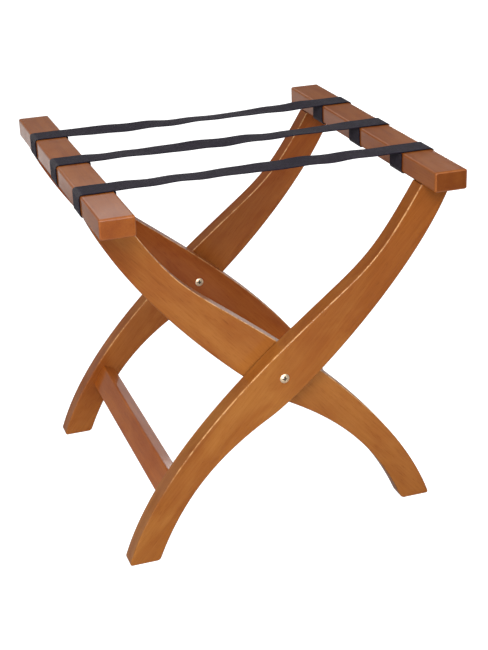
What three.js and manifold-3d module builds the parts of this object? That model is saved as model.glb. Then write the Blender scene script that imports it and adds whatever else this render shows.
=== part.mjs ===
// A folding luggage rack: two crossed wooden frames on a pair of pivot screws,
// held open by three webbing straps. Millimetres. X runs from rail to rail,
// Y along the rails, Z up from the floor, with the origin under the middle.
import * as THREE from "three";
import { mergeVertices } from "three/addons/utils/BufferGeometryUtils.js";
import Module from "manifold-3d";

const wasm = await Module();
wasm.setup();

// Driving dimensions.
const RACK_HEIGHT = 508;
const RAIL_LENGTH = 525;
const RAIL_WIDTH = 45.5;
const RAIL_DEPTH = 27;
const RAIL_CENTRE_X = 219.75;
const RAIL_ROUND = 3;
const LEG_THICKNESS = 27.5;
const OUTER_LEG_FACE_Y = 222;
const PIVOT_HEIGHT = 239;
const EDGE_CHAMFER = 1.5;
const TOE_ROUND = 4;
const STRETCHER_WIDTH = 36;
const STRETCHER_THICKNESS = 23;
const STRETCHER_CENTRE_X = 157;
const STRETCHER_CENTRE_Z = 90;
const STRETCHER_TILT = THREE.MathUtils.degToRad(60);
const STRAP_WIDTH = 38;
const STRAP_THICKNESS = 1.5;
const STRAP_SPACING = 143;
const STRAP_SAG = 3;

// Fastenings.
const DOWEL_RADIUS = 4;
const RAIL_DOWEL_LENGTH = 34;
const RAIL_DOWEL_IN_RAIL = 14;
const RAIL_DOWEL_X = [207, 222];
const STRETCHER_DOWEL_LENGTH = 38;
const STRETCHER_DOWEL_IN_LEG = 18;
const STRETCHER_DOWEL_SPREAD = 9;
const WASHER_SPACE = 1.5;
const WASHER_RADIUS = 10;
const HEAD_RADIUS = 6.5;
const HEAD_HEIGHT = 2.6;
const SCREW_RADIUS = 3;
const SCREW_LENGTH = 38;
const SLEEVE_RADIUS = 4.25;
const SLEEVE_LENGTH = 36;
const STAPLE_CROWN = 11;
const STAPLE_DEPTH = 8;
const STAPLE_WIRE = 1.2;
const STAPLE_SPREAD = 9;

// Space between pieces that touch, and how far a cutting tool runs past what it cuts.
const GAP = 0.3;
const OVERRUN = 5;

// Sides of the round pieces: the hidden dowels need fewer than the heads that show.
const DOWEL_SIDES = 12;
const BAR_SIDES = 16;
const HEAD_SIDES = 28;

const RAIL_UNDERSIDE = RACK_HEIGHT - RAIL_DEPTH;
const OUTER_LEG_Y = OUTER_LEG_FACE_Y - LEG_THICKNESS / 2;
const INNER_LEG_Y = OUTER_LEG_Y - LEG_THICKNESS - WASHER_SPACE;
const LEG_TOP_Z = RAIL_UNDERSIDE - GAP;
const ENDS = { near: -1, far: 1 };
const SIDES = { left: -1, right: 1 };
const STRAPS = { near: -STRAP_SPACING, middle: 0, far: STRAP_SPACING };

// The two long edges of a leg that leans towards +X. Each is two Bezier curves end to end, as [x, z] points:
// steep at the foot, flat past the pivot and steep again under the rail, so the leg is widest in the middle.
const UPPER_EDGE = [
  [-229, 0],
  [-187, 122],
  [-66, 230],
  [24, 301],
  [122, 379],
  [131, 375],
  [197, LEG_TOP_Z],
];
const LOWER_EDGE = [
  [-186, 0],
  [-148, 91],
  [-94, 143],
  [-22, 184],
  [32, 214],
  [191, 360],
  [241.5, LEG_TOP_Z],
];

const finishes = {
  wood: { color: 0xa8642c, roughness: 0.35, metalness: 0 },
  dowel: { color: 0xd8b487, roughness: 0.7, metalness: 0 },
  steel: { color: 0xc9cbce, roughness: 0.3, metalness: 1 },
  nylon: { color: 0xe6e4dc, roughness: 0.5, metalness: 0 },
  webbing: { color: 0x2a272d, roughness: 0.85, metalness: 0 },
};

// A closed geometry as a solid that can be joined and cut.
function solidOf(geometry) {
  const bare = geometry.clone();
  bare.deleteAttribute("normal");
  bare.deleteAttribute("uv");
  const merged = mergeVertices(bare, 1e-4);
  return new wasm.Manifold(
    new wasm.Mesh({
      numProp: 3,
      vertProperties: merged.attributes.position.array,
      triVerts: new Uint32Array(merged.index.array),
    }),
  );
}

// A solid back as a geometry.
function geometryOf(solid) {
  const mesh = solid.getMesh();
  const geometry = new THREE.BufferGeometry();
  geometry.setAttribute("position", new THREE.BufferAttribute(mesh.vertProperties, 3));
  geometry.setIndex(new THREE.BufferAttribute(mesh.triVerts, 1));
  geometry.computeVertexNormals();
  return geometry;
}

// The body with every tool taken out of it.
function cut(body, tools) {
  let solid = solidOf(body);
  for (const tool of tools) {
    solid = solid.subtract(solidOf(tool));
  }
  return geometryOf(solid);
}

function named(name, geometry, finish) {
  const mesh = new THREE.Mesh(geometry, new THREE.MeshStandardMaterial(finishes[finish]));
  mesh.name = name;
  return mesh;
}

// An outline drawn in X and Z, carried along Y and centred on it, with an optional chamfer round both faces.
function alongY(shape, length, chamfer, steps) {
  const geometry = new THREE.ExtrudeGeometry(shape, {
    depth: length - 2 * chamfer,
    bevelEnabled: chamfer > 0,
    bevelThickness: chamfer,
    bevelSize: chamfer,
    bevelOffset: -chamfer,
    bevelSegments: 1,
    curveSegments: steps,
  });
  geometry.translate(0, 0, chamfer - length / 2);
  return geometry.rotateX(Math.PI / 2);
}

function roundedRectangle(width, height, radius) {
  const x = width / 2 - radius;
  const y = height / 2 - radius;
  const shape = new THREE.Shape();
  shape.absarc(x, -y, radius, -Math.PI / 2, 0, false);
  shape.absarc(x, y, radius, 0, Math.PI / 2, false);
  shape.absarc(-x, y, radius, Math.PI / 2, Math.PI, false);
  shape.absarc(-x, -y, radius, Math.PI, 1.5 * Math.PI, false);
  return shape;
}

// A round bar or drill along Y (or up along Z), centred on a point.
function roundBar(radius, length, centre, up = false) {
  const bar = new THREE.CylinderGeometry(radius, radius, length, BAR_SIDES);
  if (up) {
    bar.rotateX(Math.PI / 2);
  }
  return bar.translate(...centre);
}

// A dowel along Y with its ends bevelled off.
function dowel(length) {
  const bevel = 1;
  const half = length / 2;
  const profile = [
    [0, -half],
    [DOWEL_RADIUS - bevel, -half],
    [DOWEL_RADIUS, bevel - half],
    [DOWEL_RADIUS, half - bevel],
    [DOWEL_RADIUS - bevel, half],
    [0, half],
  ];
  return new THREE.LatheGeometry(profile.map((point) => new THREE.Vector2(...point)), DOWEL_SIDES);
}

// The outline of a leg that leans towards +X (lean 1) or -X (lean -1), with its toe and heel rounded off.
function legOutline(lean) {
  const along = (edge, t) => edge[0] + (edge[1] - edge[0]) * t;
  const point = ([x, z]) => [lean * x, z];
  const offFloor = (edge) => {
    const run = Math.hypot(edge[1][0] - edge[0][0], edge[1][1] - edge[0][1]);
    const t = TOE_ROUND / run;
    return [along([edge[0][0], edge[1][0]], t), along([edge[0][1], edge[1][1]], t)];
  };
  const shape = new THREE.Shape();
  shape.moveTo(...point([UPPER_EDGE[0][0] + TOE_ROUND, 0]));
  shape.lineTo(...point([LOWER_EDGE[0][0] - TOE_ROUND, 0]));
  shape.quadraticCurveTo(...point(LOWER_EDGE[0]), ...point(offFloor(LOWER_EDGE)));
  shape.bezierCurveTo(...LOWER_EDGE.slice(1, 4).flatMap(point));
  shape.bezierCurveTo(...LOWER_EDGE.slice(4, 7).flatMap(point));
  shape.lineTo(...point(UPPER_EDGE[6]));
  shape.bezierCurveTo(...[5, 4, 3].flatMap((i) => point(UPPER_EDGE[i])));
  shape.bezierCurveTo(...[2, 1].flatMap((i) => point(UPPER_EDGE[i])), ...point(offFloor(UPPER_EDGE)));
  shape.quadraticCurveTo(...point(UPPER_EDGE[0]), ...point([UPPER_EDGE[0][0] + TOE_ROUND, 0]));
  return shape;
}

// The [x, z] centres of the two dowels in the end of a stretcher,
// for a frame that leans towards +X (lean 1) or -X (lean -1).
function stretcherDowelCentres(lean) {
  return [-STRETCHER_DOWEL_SPREAD, STRETCHER_DOWEL_SPREAD].map((offset) => [
    -lean * (STRETCHER_CENTRE_X - offset * Math.cos(STRETCHER_TILT)),
    STRETCHER_CENTRE_Z + offset * Math.sin(STRETCHER_TILT),
  ]);
}

// A leg about its own middle plane, bored for the pivot, for the rail's dowels and for the stretcher's.
function leg(lean, end) {
  const insideFace = -end * (LEG_THICKNESS / 2);
  const pivotHole = roundBar(SLEEVE_RADIUS + GAP, LEG_THICKNESS + OVERRUN, [0, 0, PIVOT_HEIGHT]);
  const railDowelDepth = RAIL_DOWEL_LENGTH - RAIL_DOWEL_IN_RAIL + GAP;
  const railHoles = RAIL_DOWEL_X.map((x) =>
    roundBar(
      DOWEL_RADIUS + GAP,
      railDowelDepth + OVERRUN,
      [lean * x, 0, RAIL_UNDERSIDE + (OVERRUN - railDowelDepth) / 2],
      true,
    ),
  );
  const stretcherHoles = stretcherDowelCentres(lean).map(([x, z]) =>
    roundBar(
      DOWEL_RADIUS + GAP,
      2 * (STRETCHER_DOWEL_IN_LEG + GAP),
      [x, insideFace, z],
    ),
  );
  const board = alongY(legOutline(lean), LEG_THICKNESS, EDGE_CHAMFER, 9);
  return cut(board, [pivotHole, ...railHoles, ...stretcherHoles]);
}

// The y places of a strap's two staples, on both sides of the strap's middle.
function stapleYs(strapY) {
  return [strapY - STAPLE_SPREAD, strapY + STAPLE_SPREAD];
}

// Slots for the two legs of each staple, from below the straps up past the points.
function stapleSlots(strapY, centreZ) {
  const size = STAPLE_WIRE + 2 * GAP;
  const tall = 2 * (STAPLE_DEPTH + GAP + STRAP_THICKNESS);
  return stapleYs(strapY).flatMap((y) =>
    [-1, 1].map((side) =>
      new THREE.BoxGeometry(size, size, tall).translate(
        0,
        y + side * ((STAPLE_CROWN - STAPLE_WIRE) / 2),
        RAIL_UNDERSIDE - STRAP_THICKNESS - centreZ,
      ),
    ),
  );
}

// A top rail about its own centre, bored underneath for the dowels of its two legs
// and slotted for the staples.
function rail(side, legY) {
  const centreZ = RACK_HEIGHT - RAIL_DEPTH / 2;
  const section = roundedRectangle(RAIL_WIDTH, RAIL_DEPTH, RAIL_ROUND);
  const bar = alongY(section, RAIL_LENGTH, EDGE_CHAMFER, 3);
  const depth = RAIL_DOWEL_IN_RAIL + GAP;
  const holes = Object.values(ENDS).flatMap((end) =>
    RAIL_DOWEL_X.map((x) =>
      roundBar(
        DOWEL_RADIUS + GAP,
        depth + OVERRUN,
        [side * (x - RAIL_CENTRE_X), end * legY, (depth - OVERRUN - RAIL_DEPTH) / 2],
        true,
      ),
    ),
  );
  const slots = Object.values(STRAPS).flatMap((y) => stapleSlots(y, centreZ));
  return cut(bar, [...holes, ...slots]);
}

// A stretcher about its own centre, its wide side upright, bored for two dowels in each end.
function stretcher(length) {
  const section = roundedRectangle(STRETCHER_THICKNESS, STRETCHER_WIDTH, RAIL_ROUND);
  const depth = STRETCHER_DOWEL_LENGTH - STRETCHER_DOWEL_IN_LEG + GAP;
  const holes = Object.values(ENDS).flatMap((end) =>
    [-STRETCHER_DOWEL_SPREAD, STRETCHER_DOWEL_SPREAD].map((z) =>
      roundBar(DOWEL_RADIUS + GAP, 2 * depth, [0, end * (length / 2), z]),
    ),
  );
  return cut(alongY(section, length, 0, 3), holes);
}

// The low domed head of a pivot fastener with a cross recess. It stands on y = 0 and rises along +Y.
function domedHead() {
  const dome = new THREE.Shape();
  dome.moveTo(0, 0);
  dome.lineTo(HEAD_RADIUS, 0);
  dome.lineTo(HEAD_RADIUS, HEAD_HEIGHT * 0.35);
  dome.quadraticCurveTo(HEAD_RADIUS * 0.8, HEAD_HEIGHT, 0, HEAD_HEIGHT);
  const head = new THREE.LatheGeometry(dome.getPoints(5), HEAD_SIDES);
  const recessDepth = HEAD_HEIGHT * 0.6;
  const blades = [0, Math.PI / 2].map((turn) =>
    new THREE.BoxGeometry(1.5, 2 * recessDepth, 7).rotateY(turn).translate(0, HEAD_HEIGHT, 0),
  );
  return cut(head, blades);
}

// A pivot screw: head at the outside, shank running inwards along -Y.
function pivotScrew() {
  const shank = roundBar(SCREW_RADIUS, SCREW_LENGTH, [0, 0.5 - SCREW_LENGTH / 2, 0]);
  return geometryOf(solidOf(domedHead()).add(solidOf(shank)));
}

// The sleeve nut that the screw enters: the same head, and a barrel open at the far end of its bore.
function pivotSleeve() {
  const wall = 3;
  const barrel = roundBar(SLEEVE_RADIUS, SLEEVE_LENGTH, [0, 0.5 - SLEEVE_LENGTH / 2, 0]);
  const bore = roundBar(SCREW_RADIUS + GAP, SLEEVE_LENGTH, [0, -SLEEVE_LENGTH / 2 - wall, 0]);
  return geometryOf(solidOf(domedHead()).add(solidOf(barrel)).subtract(solidOf(bore)));
}

// The flat washer between two legs, about its own centre with its axis along Y.
function pivotWasher() {
  const inner = SLEEVE_RADIUS + GAP;
  const half = WASHER_SPACE / 2 - GAP;
  const profile = [
    [inner, -half],
    [WASHER_RADIUS, -half],
    [WASHER_RADIUS, half],
    [inner, half],
    [inner, -half],
  ];
  return new THREE.LatheGeometry(profile.map((point) => new THREE.Vector2(...point)), HEAD_SIDES);
}

// A strap where it goes round a rail: a closed band, about the rail's centre, slotted for its staples.
function strapWrap() {
  const centreZ = RACK_HEIGHT - RAIL_DEPTH / 2;
  const outside = 2 * (GAP + STRAP_THICKNESS);
  const band = roundedRectangle(RAIL_WIDTH + outside, RAIL_DEPTH + outside, RAIL_ROUND + outside / 2);
  band.holes.push(roundedRectangle(RAIL_WIDTH + 2 * GAP, RAIL_DEPTH + 2 * GAP, RAIL_ROUND + GAP));
  return cut(alongY(band, STRAP_WIDTH, 0, 3), stapleSlots(0, centreZ));
}

// The free length of a strap from one wrap to the other. Its middle hangs a little lower than its ends.
function strapSpan() {
  const reach = RAIL_CENTRE_X - RAIL_WIDTH / 2 - STRAP_THICKNESS - 2 * GAP;
  const shape = new THREE.Shape();
  shape.moveTo(-reach, GAP);
  shape.quadraticCurveTo(0, GAP - 2 * STRAP_SAG, reach, GAP);
  shape.lineTo(reach, GAP + STRAP_THICKNESS);
  shape.quadraticCurveTo(0, GAP + STRAP_THICKNESS - 2 * STRAP_SAG, -reach, GAP + STRAP_THICKNESS);
  return alongY(shape, STRAP_WIDTH, 0, 12);
}

// A staple with its crown along Y at z = 0 and its legs pointing up.
function staple() {
  const half = STAPLE_CROWN / 2;
  const inside = half - STAPLE_WIRE;
  const corners = [
    [-half, -STAPLE_WIRE],
    [half, -STAPLE_WIRE],
    [half, STAPLE_DEPTH],
    [inside, STAPLE_DEPTH],
    [inside, 0],
    [-inside, 0],
    [-inside, STAPLE_DEPTH],
    [-half, STAPLE_DEPTH],
  ];
  const shape = new THREE.Shape(corners.map((corner) => new THREE.Vector2(...corner)));
  return alongY(shape, STAPLE_WIRE, 0, 1).rotateZ(Math.PI / 2);
}

// One frame: a rail, two legs and the stretcher between them, with their dowels.
function frame(name, lean, legY) {
  const group = new THREE.Group();
  const railName = lean > 0 ? "right_top_rail" : "left_top_rail";
  const railMesh = named(railName, rail(lean, legY), "wood");
  railMesh.position.set(lean * RAIL_CENTRE_X, 0, RACK_HEIGHT - RAIL_DEPTH / 2);
  group.add(railMesh);

  const insideY = legY - LEG_THICKNESS / 2;
  const stretcherMesh = named(name + "_stretcher", stretcher(2 * (insideY - GAP)), "wood");
  stretcherMesh.position.set(-lean * STRETCHER_CENTRE_X, 0, STRETCHER_CENTRE_Z);
  stretcherMesh.rotation.y = lean * (Math.PI / 2 - STRETCHER_TILT);
  group.add(stretcherMesh);

  for (const [where, end] of Object.entries(ENDS)) {
    const legName = name + "_leg_" + where;
    const legMesh = named(legName, leg(lean, end), "wood");
    legMesh.position.y = end * legY;
    group.add(legMesh);

    RAIL_DOWEL_X.forEach((x, i) => {
      const pin = named(legName + "_rail_dowel_" + (i + 1), dowel(RAIL_DOWEL_LENGTH), "dowel");
      pin.rotation.x = Math.PI / 2;
      pin.position.set(
        lean * x,
        end * legY,
        RAIL_UNDERSIDE + RAIL_DOWEL_IN_RAIL - RAIL_DOWEL_LENGTH / 2,
      );
      group.add(pin);
    });
    stretcherDowelCentres(lean).forEach(([x, z], i) => {
      const pin = named(legName + "_stretcher_dowel_" + (i + 1), dowel(STRETCHER_DOWEL_LENGTH), "dowel");
      pin.position.set(x, end * (insideY + STRETCHER_DOWEL_IN_LEG - STRETCHER_DOWEL_LENGTH / 2), z);
      group.add(pin);
    });
  }
  return group;
}

// A pivot: the screw outside, the washer between the legs and the sleeve nut inside.
function pivot(where, end) {
  const group = new THREE.Group();
  group.position.set(0, 0, PIVOT_HEIGHT);

  const screw = named("pivot_screw_" + where, pivotScrew(), "steel");
  screw.position.y = end * (OUTER_LEG_FACE_Y + GAP);
  screw.rotation.z = end > 0 ? 0 : Math.PI;
  const sleeve = named("pivot_sleeve_" + where, pivotSleeve(), "steel");
  sleeve.position.y = end * (INNER_LEG_Y - LEG_THICKNESS / 2 - GAP);
  sleeve.rotation.z = end > 0 ? Math.PI : 0;
  const washer = named("pivot_washer_" + where, pivotWasher(), "nylon");
  washer.position.y = end * (OUTER_LEG_Y - LEG_THICKNESS / 2 - WASHER_SPACE / 2);
  group.add(screw, sleeve, washer);
  return group;
}

// A strap: its free length, and a wrap with two staples on each rail.
function strap(where, strapY) {
  const group = new THREE.Group();
  const span = named("strap_" + where + "_span", strapSpan(), "webbing");
  span.position.set(0, strapY, RACK_HEIGHT);
  group.add(span);
  for (const [sideName, side] of Object.entries(SIDES)) {
    const wrap = named("strap_" + where + "_" + sideName + "_wrap", strapWrap(), "webbing");
    wrap.position.set(side * RAIL_CENTRE_X, strapY, RACK_HEIGHT - RAIL_DEPTH / 2);
    group.add(wrap);
    stapleYs(strapY).forEach((y, i) => {
      const pin = named("strap_" + where + "_" + sideName + "_staple_" + (i + 1), staple(), "steel");
      pin.position.set(side * RAIL_CENTRE_X, y, RAIL_UNDERSIDE - STRAP_THICKNESS - 2 * GAP);
      group.add(pin);
    });
  }
  return group;
}

const rack = new THREE.Group();
rack.add(frame("outer", 1, OUTER_LEG_Y));
rack.add(frame("inner", -1, INNER_LEG_Y));
for (const [where, end] of Object.entries(ENDS)) {
  rack.add(pivot(where, end));
}
for (const [where, strapY] of Object.entries(STRAPS)) {
  rack.add(strap(where, strapY));
}

export default rack;
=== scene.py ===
"""A folding luggage rack: two crossed frames of stained, lacquered wood on a pair of
pivot screws, held open by three straps of dark woven webbing.

Metres. X runs from rail to rail, Y along the rails, Z up from the floor.
"""

import math

import bpy
import numpy as np
from mathutils import Matrix, Vector


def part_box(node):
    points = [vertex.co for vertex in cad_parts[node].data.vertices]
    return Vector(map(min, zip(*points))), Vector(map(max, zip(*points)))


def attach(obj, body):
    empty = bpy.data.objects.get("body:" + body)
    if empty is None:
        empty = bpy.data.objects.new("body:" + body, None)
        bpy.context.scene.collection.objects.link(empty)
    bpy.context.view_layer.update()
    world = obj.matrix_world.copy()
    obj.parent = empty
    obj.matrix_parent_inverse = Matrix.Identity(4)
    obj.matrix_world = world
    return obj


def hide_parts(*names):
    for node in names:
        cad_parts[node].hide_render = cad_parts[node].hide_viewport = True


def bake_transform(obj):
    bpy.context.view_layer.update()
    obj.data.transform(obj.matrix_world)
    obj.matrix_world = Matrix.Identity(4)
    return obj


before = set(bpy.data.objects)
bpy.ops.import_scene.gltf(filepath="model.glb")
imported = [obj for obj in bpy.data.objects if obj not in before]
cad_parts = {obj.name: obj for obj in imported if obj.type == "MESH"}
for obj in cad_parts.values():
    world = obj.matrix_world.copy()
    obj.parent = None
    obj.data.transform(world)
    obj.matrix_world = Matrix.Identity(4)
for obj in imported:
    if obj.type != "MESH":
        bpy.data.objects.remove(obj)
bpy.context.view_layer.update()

MM = 0.001

# Wood: how far each kind of edge is rounded. EASE is the strip of flat just beside a
# rounded edge, and JOINT_ROUND is for ends that are glued to another piece.
LEG_ROUND = 1.9 * MM
RAIL_ROUND = 3.0 * MM
RAIL_END_ROUND = 2.4 * MM
STRETCHER_ROUND = 2.6 * MM
TOE_ROUND = 4.0 * MM
SOLE_ROUND = 1.4 * MM
JOINT_ROUND = 0.4 * MM
EASE = 0.9 * MM

# Wear, as shares of a fully rubbed edge. One edge of each leg, from the stretcher up, is
# made pale as a painted highlight rather than wear, and it comes in over the fade length.
OTHER_EDGE_RUB = 0.12
BAR_EDGE_RUB = 0.05
SOLE_RUB = 0.5
HIGHLIGHT_FROM = 92 * MM
HIGHLIGHT_FADE = 45 * MM

# The stretcher lies square to the leg: its centre as (distance out from the middle, height).
STRETCHER_CENTRE = (157.0 * MM, 90.0 * MM)
STRETCHER_SIZE = (23.0 * MM, 36.0 * MM)
STRETCHER_TILT = math.radians(60.0)

# Webbing.
STRAP_WIDTH = 38.0 * MM
STRAP_THICKNESS = 1.5 * MM
STRAP_CLEARANCE = 0.3 * MM
STRAP_GATHER = 0.03
RIPPLE_HEIGHT = 0.35 * MM
RIPPLE_WAVE = 0.061
SWAY_WAVE = 0.31
WIDTH_WAVE = 0.047
EDGE_WAVE = 0.083
EDGE_WAVE_HEIGHT = 0.5 * MM

# Pivot hardware and staples.
PIVOT_HEIGHT = 239.0 * MM
HEAD_RADIUS = 6.5 * MM
HEAD_HEIGHT = 2.6 * MM
SCREW_RADIUS = 3.0 * MM
SCREW_LENGTH = 37.5 * MM
SLEEVE_RADIUS = 4.25 * MM
SLEEVE_LENGTH = 35.5 * MM
SLEEVE_BORE = 3.3 * MM
WASHER_BORE = 4.55 * MM
STAPLE_CROWN = 11.0 * MM
STAPLE_DEPTH = 8.0 * MM
STAPLE_WIRE = 1.2 * MM

# The two long edges of a leg that leans towards +X, each two Bezier curves end to end,
# as (x, z) in millimetres from the floor up to the rail.
LEG_TOP = 480.7
UPPER_EDGE = ((-229, 0), (-187, 122), (-66, 230), (24, 301), (122, 379), (131, 375),
              (197, LEG_TOP))
LOWER_EDGE = ((-186, 0), (-148, 91), (-94, 143), (-22, 184), (32, 214), (191, 360),
              (241.5, LEG_TOP))
LEG_SPREAD = 426.75


# ------------------------------ surfaces

def signed_volume(points, quads):
    """Six times the volume inside the faces: the sum of p0 . (p1 x p2) over their triangles."""
    a, b, c, d = (points[quads[:, k]] for k in range(4))
    return np.einsum("ij,ij->", a, np.cross(b, c)) + np.einsum("ij,ij->", a, np.cross(c, d))


def new_object(name, points, faces):
    """A smooth-shaded mesh object, placed at the origin, from points and faces."""
    mesh = bpy.data.meshes.new(name)
    mesh.from_pydata(points, [], faces)
    mesh.polygons.foreach_set("use_smooth", np.ones(len(mesh.polygons), bool))
    mesh.update()
    made = bpy.data.objects.new(name, mesh)
    bpy.context.scene.collection.objects.link(made)
    return made


def skin(name, rings, marks=None, uv=None):
    """A closed skin over rings of points, [ring, point, xyz].

    Each ring is joined to the next by a band of four-sided faces, and the first and last
    rings are filled flat. marks are named values at the points, and uv is [ring, point, 2].
    """
    count, around = rings.shape[:2]
    points = rings.reshape(-1, 3)
    index = np.arange(count * around).reshape(count, around)
    here, there = index[:-1], index[1:]
    quads = np.stack(
        [here, np.roll(here, -1, 1), np.roll(there, -1, 1), there], -1
    ).reshape(-1, 4)
    ends = [index[0][::-1], index[-1]]
    if signed_volume(points, quads) < 0:
        quads = quads[:, ::-1]
        ends = [end[::-1] for end in ends]
    made = new_object(name, points.tolist(), quads.tolist() + [end.tolist() for end in ends])
    mesh = made.data
    for mark, values in (marks or {}).items():
        layer = mesh.attributes.new(mark, "FLOAT", "POINT")
        layer.data.foreach_set("value", np.asarray(values, np.float32).ravel())
    if uv is not None:
        corners = np.empty(len(mesh.loops), np.int32)
        mesh.loops.foreach_get("vertex_index", corners)
        layer = mesh.uv_layers.new(name="cloth")
        layer.data.foreach_set("uv", uv.reshape(-1, 2)[corners].astype(np.float32).ravel())
    mesh.update()
    return made


def rounded_section(radius, ease=EASE, steps=6):
    """The outline of a rectangle with round corners, for any width and height.

    A point lies at share * half size + offset on each axis. Every corner is a quarter
    circle of steps parts, with one more point on the flat at each side of it.
    """
    share, offset, edge = [], [], []
    for quarter, (sx, sy) in enumerate(((1, -1), (1, 1), (-1, 1), (-1, -1))):
        turn = np.linspace(0, math.pi / 2, steps + 1) + (quarter - 1) * math.pi / 2
        arc = np.stack([np.cos(turn), np.sin(turn)], -1)
        first = arc[0] - np.array([-arc[0][1], arc[0][0]]) * (ease / radius)
        last = arc[-1] + np.array([-arc[-1][1], arc[-1][0]]) * (ease / radius)
        corner = np.vstack([first, arc, last])
        share.append(np.repeat([[sx, sy]], len(corner), 0))
        offset.append(radius * (corner - np.array([sx, sy])))
        bend = np.sin(np.linspace(0, math.pi, steps + 1))
        edge.append(np.concatenate([[0], 0.25 + 0.75 * bend, [0]]))
    return np.vstack(share).astype(float), np.vstack(offset), np.concatenate(edge)


def inset_rounding(distance, radius):
    """How far a quarter-round edge has drawn in, at a distance from the end face."""
    inside = np.clip(radius - distance, 0, radius)
    return radius - np.sqrt(np.maximum(radius ** 2 - inside ** 2, 0))


def end_steps(radius, ease=EASE, steps=5):
    """Distances from an end face where rings are wanted: close together in the rounding."""
    turn = np.linspace(0, math.pi / 2, steps + 1)
    return np.append(radius * (1 - np.cos(turn)), radius + ease)


def with_end_faces(rings, worn, share=0.9):
    """Adds a smaller copy of the first and last rings, inside them and not worn, so that the
    wear of an end's rim stops there. Returns the rings and their marks of wear and end grain."""
    first, last = (
        ring.mean(0) + share * (ring - ring.mean(0)) for ring in (rings[0], rings[-1])
    )
    none = np.zeros((1, worn.shape[1]))
    rings = np.vstack([first[None], rings, last[None]])
    end = np.zeros(rings.shape[:2])
    end[[0, 1, -2, -1]] = 1
    return rings, {"edge": np.vstack([none, worn, none]), "end": end}


def bar(name, start, end, across, up, size, radius, end_radius, paling, middle=8):
    """A straight bar: a rounded rectangle carried from start to end.

    At a distance d from either end the outline draws in by r - sqrt(r^2 - (r - d)^2). Its
    edges are worn by the share rub.
    """
    start, end, across, up = (np.array(v, float) for v in (start, end, across, up))
    length = np.linalg.norm(end - start)
    near = end_steps(end_radius)
    along = np.concatenate([near, np.linspace(near[-1], length - near[-1], middle + 2)[1:-1],
                            length - near[::-1]])
    draw_in = inset_rounding(np.minimum(along, length - along), end_radius)
    share, offset, edge = rounded_section(radius)
    shrink = np.maximum(radius - draw_in, 0.25 * radius) / radius
    flat = [
        share[None, :, k] * (size[k] / 2 - draw_in[:, None])
        + offset[None, :, k] * shrink[:, None]
        for k in (0, 1)
    ]
    rings = (
        start + (end - start) / length * along[:, None, None]
        + flat[0][..., None] * across + flat[1][..., None] * up
    )
    worn = np.maximum(edge[None, :], np.clip(1.4 * draw_in / end_radius, 0, 1)[:, None])
    return skin(name, *with_end_faces(rings, worn * paling))


# ------------------------------ legs

def long_edge(corners, lean, samples=400):
    """One long edge of a leg as [point, (x, z)], evenly spaced from the floor to the rail."""
    corners = np.array(corners, float) * MM
    t = np.linspace(0, 1, samples)[:, None]
    parts = []
    for first in (0, 3):
        a, b, c, d = corners[first:first + 4]
        parts.append(
            a * (1 - t) ** 3 + 3 * b * t * (1 - t) ** 2 + 3 * c * t ** 2 * (1 - t) + d * t ** 3
        )
    line = np.vstack([parts[0], parts[1][1:]])
    run = np.append(0, np.cumsum(np.linalg.norm(np.diff(line, axis=0), axis=1)))
    even = np.linspace(0, run[-1], samples)
    line = np.stack([np.interp(even, run, line[:, k]) for k in (0, 1)], -1)
    return line * np.array([lean, 1.0])


def at_height(line, heights):
    """The points of a long edge at the given heights."""
    return np.stack([np.interp(heights, line[:, 1], line[:, 0]), heights], -1)


def leg(name, node, lean):
    """A curved leg: a rounded rectangle carried up from the floor to the rail.

    At each step it spans from the upper long edge to the lower one, so its width is the
    distance between them, and its depth is the thickness of the board. The toe, the heel
    and the edges of the sole are rounded by drawing the outline in towards the floor. The
    upper edge on the -Y side is made pale from the stretcher up as a painted highlight; the
    other edges are worn a little pale.
    """
    low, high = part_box(node)
    upper, lower = long_edge(UPPER_EDGE, lean), long_edge(LOWER_EDGE, lean)
    soles = end_steps(TOE_ROUND)
    tops = high.z - end_steps(JOINT_ROUND, steps=2)[::-1]
    rises = np.linspace(0, 1, 74)[1:-1]
    sides = []
    for line in (upper, lower):
        first, last = at_height(line, soles), at_height(line, tops)
        from_sole = np.interp(soles[-1], line[:, 1], np.linspace(0, 1, len(line)))
        to_top = np.interp(tops[0], line[:, 1], np.linspace(0, 1, len(line)))
        share = from_sole + (to_top - from_sole) * rises
        between = np.stack(
            [np.interp(share, np.linspace(0, 1, len(line)), line[:, k]) for k in (0, 1)], -1
        )
        sides.append(np.vstack([first, between, last]))
    upper, lower = sides
    centre = (upper + lower) / 2
    width = np.linalg.norm(lower - upper, axis=1)
    across = (lower - upper) / width[:, None]
    height = centre[:, 1]
    toe = inset_rounding(np.minimum(height, TOE_ROUND), TOE_ROUND)
    sole = inset_rounding(height, SOLE_ROUND)
    top = inset_rounding(high.z - height, JOINT_ROUND)
    share, offset, edge = rounded_section(LEG_ROUND)
    shrink = np.maximum(LEG_ROUND - sole - top, 0.3 * LEG_ROUND) / LEG_ROUND
    wide = (
        share[None, :, 0] * (width / 2 - toe - top)[:, None]
        + offset[None, :, 0] * shrink[:, None]
    )
    deep = (
        share[None, :, 1] * ((high.y - low.y) / 2 - sole - top)[:, None]
        + offset[None, :, 1] * shrink[:, None]
    )
    rings = np.stack(
        [
            centre[:, None, 0] + wide * across[:, None, 0],
            (low.y + high.y) / 2 + deep,
            centre[:, None, 1] + wide * across[:, None, 1],
        ],
        -1,
    )
    # Painted highlight: the upper -Y edge turns pale from the stretcher up; the other edges get a
    # little real wear.
    highlit = (share[:, 0] < 0) & (share[:, 1] < 0)
    above_stretcher = np.clip((height - HIGHLIGHT_FROM) / HIGHLIGHT_FADE, 0, 1)[:, None]
    paling = np.where(highlit, np.maximum(above_stretcher, OTHER_EDGE_RUB), OTHER_EDGE_RUB)
    worn = np.maximum(edge * paling, SOLE_RUB * np.clip(sole / SOLE_ROUND, 0, 1)[:, None])
    return skin(name, *with_end_faces(rings, worn))


# ------------------------------ hardware

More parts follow.
